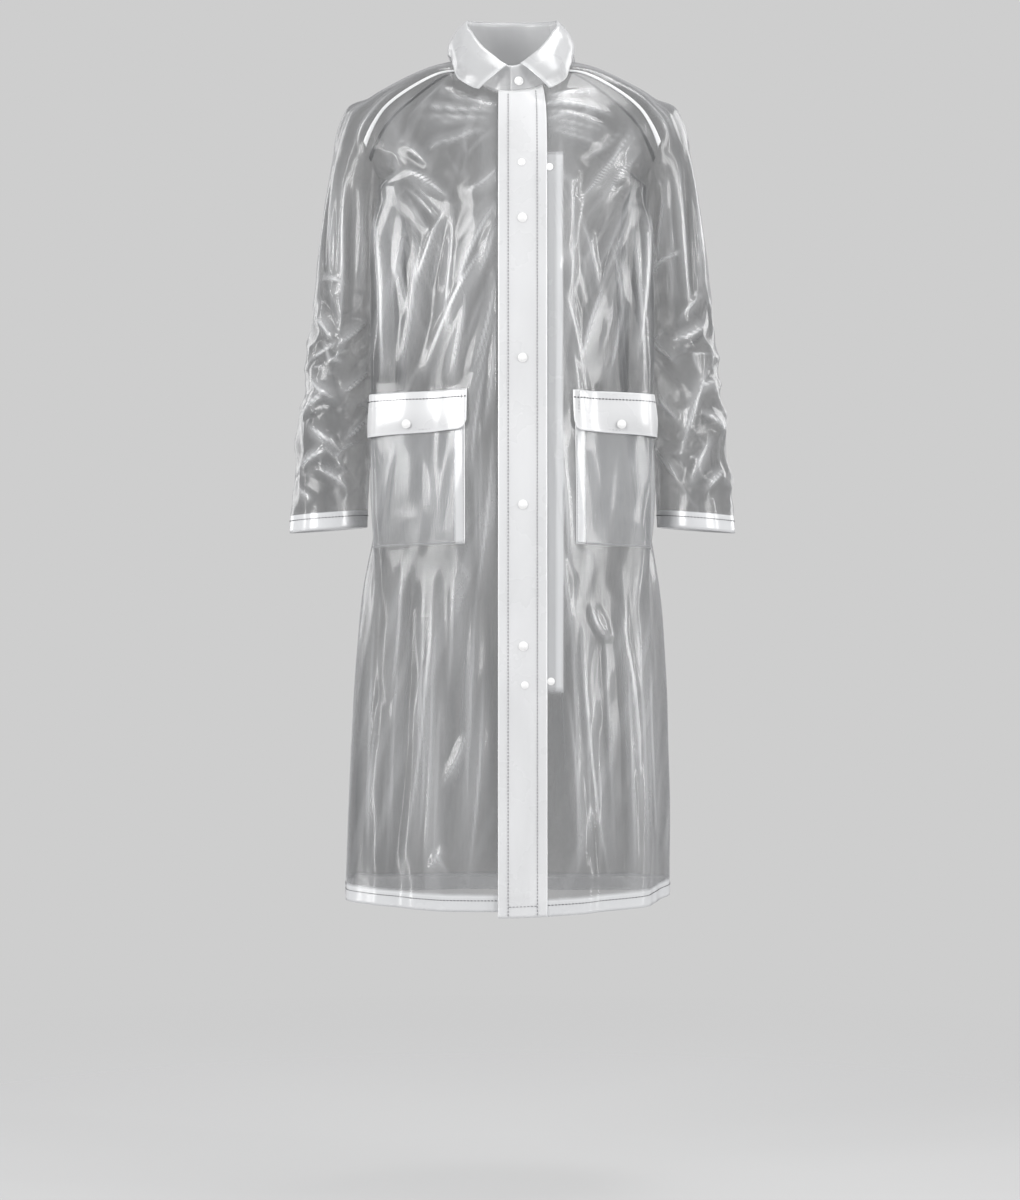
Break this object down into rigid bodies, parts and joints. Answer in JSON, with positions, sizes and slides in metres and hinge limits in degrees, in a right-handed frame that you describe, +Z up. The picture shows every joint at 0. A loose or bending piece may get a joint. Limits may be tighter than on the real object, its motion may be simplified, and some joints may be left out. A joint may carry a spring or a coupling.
{
  "type": "raincoat",
  "caption": "Translucent film raincoat in its worn shape: raglan sleeves, shirt collar, snap placket, flapped patch pockets, and open neck, cuffs and hem.",
  "frame": {"origin": "the middle of the neck opening, where the wearer's shoulders and neck hold the coat up", "axes": "+Z up, +X to the wearer's left, +Y to the back: the front of the coat faces -Y"},
  "size_m": [0.6142, 0.3442, 1.2401],
  "materials": {
    "film": "frosted clear film, soft sheen",
    "doubled_film": "two or more layers of the same film, reading white",
    "snap": "smooth moulded caps"
  },
  "bodies": {
    "root": {"back": "film", "collar_fall": "doubled_film", "collar_stand": "doubled_film", "cuff_turn_left": "doubled_film", "cuff_turn_right": "doubled_film", "front_left": "film", "front_right": "film", "hem_turn_back": "doubled_film", "hem_turn_front_left": "doubled_film", "hem_turn_front_right": "doubled_film", "placket": "doubled_film", "pocket_flap_left": "doubled_film", "pocket_flap_right": "doubled_film", "pocket_left": "film", "pocket_right": "film", "sleeve_left": "film", "sleeve_right": "film", "snap_collar": "snap", "snap_flap_left": "snap", "snap_flap_right": "snap", "snap_front_1": "snap", "snap_front_2": "snap", "snap_front_3": "snap", "snap_front_4": "snap", "snap_under_1": "snap", "snap_under_2": "snap", "snap_under_3": "snap", "snap_under_4": "snap", "storm_flap": "doubled_film"}
  },
  "joints": []
}
